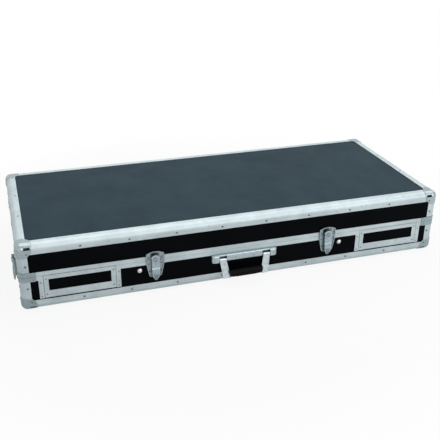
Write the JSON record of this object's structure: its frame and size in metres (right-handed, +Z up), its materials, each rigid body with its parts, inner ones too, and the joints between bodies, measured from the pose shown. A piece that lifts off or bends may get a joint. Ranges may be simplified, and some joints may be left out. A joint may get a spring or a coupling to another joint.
{
  "type": "flight case",
  "caption": "Long flat console case: black laminated boards in rounded aluminium edges, ball corners, back-hinged lid, draw latches, bail handle and drop-down front flaps.",
  "frame": {"origin": "on the floor, under the middle of the whole case", "axes": "+X along the case to the right, +Y from the front with the handle to the hinges at the back, +Z up"},
  "size_m": [1.2236, 0.551, 0.1955],
  "materials": {
    "laminate_top": "satin laminate",
    "laminate": "satin laminate",
    "aluminium": "satin anodised",
    "plated_steel": "bright zinc plate",
    "grip_black": "moulded",
    "foam": "open-cell foam",
    "rubber": "moulded"
  },
  "bodies": {
    "base": {"base_back_panel": "laminate", "base_ball_corners": "plated_steel", "base_bottom_panel": "laminate", "base_corner_posts": "aluminium", "base_edge_back": "aluminium", "base_edge_front": "aluminium", "base_edge_left": "aluminium", "base_edge_right": "aluminium", "base_front_panel": "laminate", "base_left_panel": "laminate", "base_rail_back": "aluminium", "base_rail_corners": "plated_steel", "base_rail_front": "aluminium", "base_rail_sides": "aluminium", "base_right_panel": "laminate", "bay_linings": "foam", "bay_pads": "foam", "divider_bolts": "plated_steel", "divider_left": "laminate", "divider_right": "laminate", "flap_ball_catches": "plated_steel", "flap_hinge_fixed_leaves": "plated_steel", "flap_jamb_strips": "aluminium", "foot_screws": "plated_steel", "handle_bracket": "plated_steel", "latch_plates": "plated_steel", "lid_hinge_base_leaves": "plated_steel", "rubber_feet": "rubber"},
    "lid": {"lid_top_panel": "laminate_top", "lid_front_panel": "laminate", "lid_back_panel": "laminate", "lid_left_panel": "laminate", "lid_right_panel": "laminate", "lid_edge_front": "aluminium", "lid_edge_back": "aluminium", "lid_edge_left": "aluminium", "lid_edge_right": "aluminium", "lid_corner_posts": "aluminium", "lid_rails": "aluminium", "lid_ball_corners": "plated_steel", "lid_rail_corners": "plated_steel", "lid_foam": "foam", "latch_keepers": "plated_steel", "lid_hinge_leaves": "plated_steel"},
    "flap_left": {"flap_left_panel": "laminate", "flap_left_frame": "aluminium"},
    "flap_right": {"flap_right_panel": "laminate", "flap_right_frame": "aluminium"},
    "handle": {"handle_arms": "plated_steel", "handle_grip": "grip_black"},
    "yoke_front_left": {"latch_yoke_front_left": "plated_steel"},
    "lever_front_left": {"latch_lever_front_left": "plated_steel"},
    "yoke_front_right": {"latch_yoke_front_right": "plated_steel"},
    "lever_front_right": {"latch_lever_front_right": "plated_steel"},
    "yoke_end_left": {"latch_yoke_end_left": "plated_steel"},
    "lever_end_left": {"latch_lever_end_left": "plated_steel"},
    "yoke_end_right": {"latch_yoke_end_right": "plated_steel"},
    "lever_end_right": {"latch_lever_end_right": "plated_steel"},
    "plug_front_left": {"lock_plug_front_left": "plated_steel"},
    "plug_front_right": {"lock_plug_front_right": "plated_steel"}
  },
  "joints": [
    {"name": "lid_hinge", "type": "hinge", "parent": "base", "child": "lid", "pos_m": [0, 0.26336, 0.1035], "axis": [-1, 0, 0], "range_deg": [0, 100]},
    {"name": "flap_left_hinge", "type": "hinge", "parent": "base", "child": "flap_left", "pos_m": [-0.44765, -0.24634, 0.0367], "axis": [1, 0, 0], "range_deg": [0, 110]},
    {"name": "flap_right_hinge", "type": "hinge", "parent": "base", "child": "flap_right", "pos_m": [0.44765, -0.24634, 0.0367], "axis": [1, 0, 0], "range_deg": [0, 110]},
    {"name": "handle_hinge", "type": "hinge", "parent": "base", "child": "handle", "pos_m": [0, -0.25264, 0.0775], "axis": [-1, 0, 0], "range_deg": [0, 110]},
    {"name": "yoke_front_left_pivot", "type": "hinge", "parent": "base", "child": "yoke_front_left", "pos_m": [-0.25, -0.25134, 0.0985], "axis": [-1, 0, 0], "range_deg": [0, 50]},
    {"name": "yoke_front_right_pivot", "type": "hinge", "parent": "base", "child": "yoke_front_right", "pos_m": [0.25, -0.25134, 0.0985], "axis": [-1, 0, 0], "range_deg": [0, 50]},
    {"name": "yoke_end_left_pivot", "type": "hinge", "parent": "base", "child": "yoke_end_left", "pos_m": [-0.6052, -0.14364, 0.0985], "axis": [0, 1, 0], "range_deg": [0, 50]},
    {"name": "yoke_end_right_pivot", "type": "hinge", "parent": "base", "child": "yoke_end_right", "pos_m": [0.6052, -0.14364, 0.0985], "axis": [0, -1, 0], "range_deg": [0, 50]},
    {"name": "lever_front_left_pivot", "type": "hinge", "parent": "yoke_front_left", "child": "lever_front_left", "pos_m": [-0.25, -0.25014, 0.0725], "axis": [-1, 0, 0], "range_deg": [-24, 0]},
    {"name": "lever_front_right_pivot", "type": "hinge", "parent": "yoke_front_right", "child": "lever_front_right", "pos_m": [0.25, -0.25014, 0.0725], "axis": [-1, 0, 0], "range_deg": [-24, 0]},
    {"name": "lever_end_left_pivot", "type": "hinge", "parent": "yoke_end_left", "child": "lever_end_left", "pos_m": [-0.604, -0.14364, 0.0725], "axis": [0, 1, 0], "range_deg": [-24, 0]},
    {"name": "lever_end_right_pivot", "type": "hinge", "parent": "yoke_end_right", "child": "lever_end_right", "pos_m": [0.604, -0.14364, 0.0725], "axis": [0, -1, 0], "range_deg": [-24, 0]},
    {"name": "plug_front_left_turn", "type": "hinge", "parent": "lever_front_left", "child": "plug_front_left", "pos_m": [-0.25, -0.25654, 0.1081], "axis": [0, -1, 0], "range_deg": [0, 90]},
    {"name": "plug_front_right_turn", "type": "hinge", "parent": "lever_front_right", "child": "plug_front_right", "pos_m": [0.25, -0.25654, 0.1081], "axis": [0, -1, 0], "range_deg": [0, 90]}
  ],
  "couplings": [
    {"joint": "lever_front_left_pivot", "follows": "yoke_front_left_pivot", "ratio": -0.47},
    {"joint": "lever_front_right_pivot", "follows": "yoke_front_right_pivot", "ratio": -0.47},
    {"joint": "lever_end_left_pivot", "follows": "yoke_end_left_pivot", "ratio": -0.47},
    {"joint": "lever_end_right_pivot", "follows": "yoke_end_right_pivot", "ratio": -0.47}
  ]
}
